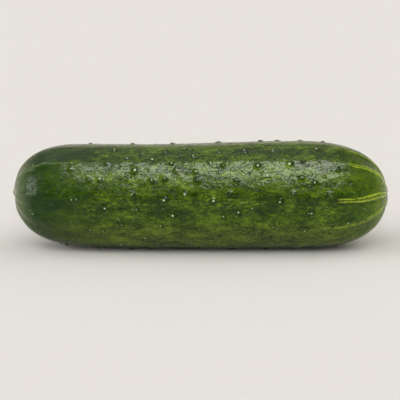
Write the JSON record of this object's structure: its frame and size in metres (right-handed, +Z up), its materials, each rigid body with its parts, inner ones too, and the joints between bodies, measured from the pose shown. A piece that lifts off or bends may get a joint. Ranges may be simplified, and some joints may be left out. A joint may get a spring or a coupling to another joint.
{
  "type": "cucumber",
  "caption": "Whole garden cucumber as picked: a blunt, ribbed and slightly bowed body with a stem scar and a blossom scar, lying on its side.",
  "frame": {"origin": "on the surface that the cucumber lies on, under the middle of its bounding box", "axes": "+X along the cucumber from the stem end to the blossom end, +Z up from the surface it lies on, +Y away from the side that the picture shows"},
  "size_m": [0.18, 0.0524, 0.051],
  "materials": {
    "skin": "satin"
  },
  "bodies": {
    "root": {"cucumber": "skin"}
  },
  "joints": []
}
